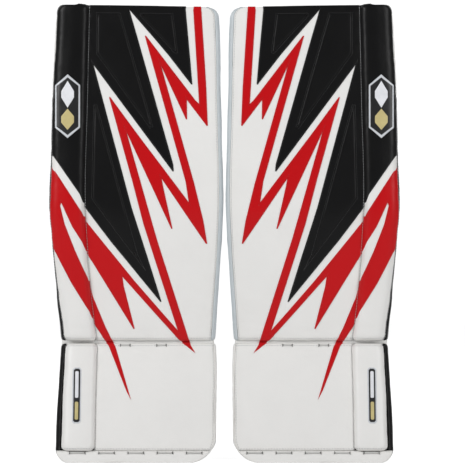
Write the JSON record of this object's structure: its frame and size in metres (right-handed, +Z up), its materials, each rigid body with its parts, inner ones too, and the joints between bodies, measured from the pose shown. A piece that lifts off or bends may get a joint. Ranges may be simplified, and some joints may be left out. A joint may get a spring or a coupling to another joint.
{
  "type": "ice hockey goaltender leg pads",
  "caption": "Pair of tall ice hockey leg pads with folding thigh, shin and boot sections, an outer roll, knee blocks, hinged leg wings, straps and a toe bridge.",
  "frame": {"origin": "on the floor, midway between the two pads and midway through their depth", "axes": "+X towards the wearer's left pad, +Y from the front faces towards the wearer's leg, +Z up"},
  "size_m": [0.564, 0.1946, 0.7296],
  "materials": {
    "white_leather": "smooth semi-gloss synthetic leather, fine grain",
    "red_leather": "smooth semi-gloss synthetic leather, fine grain",
    "black_leather": "smooth semi-gloss synthetic leather, fine grain",
    "grey_leather": "satin synthetic leather",
    "wing_leather": "matte synthetic suede",
    "knee_leather": "matte synthetic leather over foam blocks",
    "backing_nylon": "coarse woven nylon",
    "lining_knit": "soft brushed knit lining",
    "webbing": "woven nylon webbing",
    "bridge_nylon": "moulded nylon",
    "lace": "round braided lace",
    "eyelet_black": "black painted eyelet",
    "screw_steel": "nickel-plated steel",
    "ring_steel": "nickel-plated steel wire",
    "patch_black": "moulded patch"
  },
  "bodies": {
    "right_shin": {"right_shin_core": "backing_nylon", "right_shin_face": "white_leather", "right_shin_roll": "red_leather", "right_shin_gusset": "grey_leather", "right_leg_liner": "lining_knit", "right_knee_stack": "knee_leather"},
    "right_thigh": {"right_thigh_core": "backing_nylon", "right_thigh_face": "white_leather", "right_thigh_roll": "black_leather", "right_thigh_gusset": "grey_leather", "right_badge": "patch_black"},
    "right_boot": {"right_boot_core": "backing_nylon", "right_boot_face": "white_leather", "right_boot_roll": "white_leather", "right_toe_cap": "white_leather", "right_boot_flaps": "backing_nylon", "right_toe_bridge": "bridge_nylon", "right_toe_bridge_screws": "screw_steel", "right_toe_tab": "webbing", "right_lacing": "lace", "right_lace_eyelets": "eyelet_black", "right_boot_label": "patch_black"},
    "right_knee_wing": {"right_knee_wing": "wing_leather"},
    "right_knee_strap": {"right_knee_strap": "webbing"},
    "right_outer_calf_wing": {"right_outer_calf_wing": "wing_leather"},
    "right_inner_calf_wing": {"right_inner_calf_wing": "wing_leather"},
    "right_calf_strap": {"right_calf_strap": "webbing"},
    "right_calf_keeper": {"right_calf_keeper": "bridge_nylon"},
    "right_toe_ring": {"right_toe_ring": "ring_steel"},
    "right_boot_strap": {"right_boot_strap": "webbing"},
    "left_shin": {"left_shin_core": "backing_nylon", "left_shin_face": "white_leather", "left_shin_roll": "red_leather", "left_shin_gusset": "grey_leather", "left_leg_liner": "lining_knit", "left_knee_stack": "knee_leather"},
    "left_thigh": {"left_thigh_core": "backing_nylon", "left_thigh_face": "white_leather", "left_thigh_roll": "black_leather", "left_thigh_gusset": "grey_leather", "left_badge": "patch_black"},
    "left_boot": {"left_boot_core": "backing_nylon", "left_boot_face": "white_leather", "left_boot_roll": "white_leather", "left_toe_cap": "white_leather", "left_boot_flaps": "backing_nylon", "left_toe_bridge": "bridge_nylon", "left_toe_bridge_screws": "screw_steel", "left_toe_tab": "webbing", "left_lacing": "lace", "left_lace_eyelets": "eyelet_black", "left_boot_label": "patch_black"},
    "left_knee_wing": {"left_knee_wing": "wing_leather"},
    "left_knee_strap": {"left_knee_strap": "webbing"},
    "left_outer_calf_wing": {"left_outer_calf_wing": "wing_leather"},
    "left_inner_calf_wing": {"left_inner_calf_wing": "wing_leather"},
    "left_calf_strap": {"left_calf_strap": "webbing"},
    "left_calf_keeper": {"left_calf_keeper": "bridge_nylon"},
    "left_toe_ring": {"left_toe_ring": "ring_steel"},
    "left_boot_strap": {"left_boot_strap": "webbing"}
  },
  "joints": [
    {"name": "pair_spacing", "type": "slide", "parent": "right_shin", "child": "left_shin", "axis": [1, 0, 0], "range_m": [0, 0.25]},
    {"name": "right_knee_flex", "type": "hinge", "parent": "right_shin", "child": "right_thigh", "pos_m": [0, -0.07866, 0.39994], "axis": [1, 0, 0], "range_deg": [-2, 10], "stiffness_Nm_per_rad": 40},
    {"name": "right_boot_flex", "type": "hinge", "parent": "right_shin", "child": "right_boot", "pos_m": [0, -0.04916, 0.19], "axis": [1, 0, 0], "range_deg": [-12, 8], "stiffness_Nm_per_rad": 40},
    {"name": "right_knee_wing_swing", "type": "hinge", "parent": "right_shin", "child": "right_knee_wing", "pos_m": [-0.2548, -0.01448, 0.35493], "axis": [0, -0.1392, 0.9903], "range_deg": [0, 45]},
    {"name": "right_knee_strap_swing", "type": "hinge", "parent": "right_knee_wing", "child": "right_knee_strap", "pos_m": [-0.2588, 0.07589, 0.36763], "axis": [0, -0.1392, 0.9903], "range_deg": [0, 80]},
    {"name": "right_outer_calf_wing_swing", "type": "hinge", "parent": "right_shin", "child": "right_outer_calf_wing", "pos_m": [-0.24542, -0.00007, 0.25244], "axis": [0, -0.1392, 0.9903], "range_deg": [0, 45]},
    {"name": "right_inner_calf_wing_swing", "type": "hinge", "parent": "right_shin", "child": "right_inner_calf_wing", "pos_m": [-0.03183, -0.00007, 0.25244], "axis": [0, 0.1392, -0.9903], "range_deg": [0, 30]},
    {"name": "right_calf_strap_swing", "type": "hinge", "parent": "right_outer_calf_wing", "child": "right_calf_strap", "pos_m": [-0.24942, 0.09029, 0.26514], "axis": [0, -0.1392, 0.9903], "range_deg": [0, 80]},
    {"name": "right_calf_keeper_slide", "type": "slide", "parent": "right_calf_strap", "child": "right_calf_keeper", "axis": [-1, 0, 0], "range_m": [-0.06, 0.06]},
    {"name": "right_boot_strap_swing", "type": "hinge", "parent": "right_boot", "child": "right_boot_strap", "pos_m": [-0.2505, 0.0683, 0.10952], "axis": [0, 0.225, 0.9744], "range_deg": [0, 80]},
    {"name": "right_toe_ring_swing", "type": "hinge", "parent": "right_boot", "child": "right_toe_ring", "pos_m": [-0.13845, -0.00593, 0.03249], "axis": [1, 0, 0], "range_deg": [-12, 75]},
    {"name": "left_knee_flex", "type": "hinge", "parent": "left_shin", "child": "left_thigh", "pos_m": [0, -0.07866, 0.39994], "axis": [1, 0, 0], "range_deg": [-2, 10], "stiffness_Nm_per_rad": 40},
    {"name": "left_boot_flex", "type": "hinge", "parent": "left_shin", "child": "left_boot", "pos_m": [0, -0.04916, 0.19], "axis": [1, 0, 0], "range_deg": [-12, 8], "stiffness_Nm_per_rad": 40},
    {"name": "left_knee_wing_swing", "type": "hinge", "parent": "left_shin", "child": "left_knee_wing", "pos_m": [0.2548, -0.01448, 0.35493], "axis": [0, 0.1392, -0.9903], "range_deg": [0, 45]},
    {"name": "left_knee_strap_swing", "type": "hinge", "parent": "left_knee_wing", "child": "left_knee_strap", "pos_m": [0.2588, 0.07589, 0.36763], "axis": [0, 0.1392, -0.9903], "range_deg": [0, 80]},
    {"name": "left_outer_calf_wing_swing", "type": "hinge", "parent": "left_shin", "child": "left_outer_calf_wing", "pos_m": [0.24542, -0.00007, 0.25244], "axis": [0, 0.1392, -0.9903], "range_deg": [0, 45]},
    {"name": "left_inner_calf_wing_swing", "type": "hinge", "parent": "left_shin", "child": "left_inner_calf_wing", "pos_m": [0.03183, -0.00007, 0.25244], "axis": [0, -0.1392, 0.9903], "range_deg": [0, 30]},
    {"name": "left_calf_strap_swing", "type": "hinge", "parent": "left_outer_calf_wing", "child": "left_calf_strap", "pos_m": [0.24942, 0.09029, 0.26514], "axis": [0, 0.1392, -0.9903], "range_deg": [0, 80]},
    {"name": "left_calf_keeper_slide", "type": "slide", "parent": "left_calf_strap", "child": "left_calf_keeper", "axis": [1, 0, 0], "range_m": [-0.06, 0.06]},
    {"name": "left_boot_strap_swing", "type": "hinge", "parent": "left_boot", "child": "left_boot_strap", "pos_m": [0.2505, 0.0683, 0.10952], "axis": [0, -0.225, -0.9744], "range_deg": [0, 80]},
    {"name": "left_toe_ring_swing", "type": "hinge", "parent": "left_boot", "child": "left_toe_ring", "pos_m": [0.13845, -0.00593, 0.03249], "axis": [1, 0, 0], "range_deg": [-12, 75]}
  ]
}
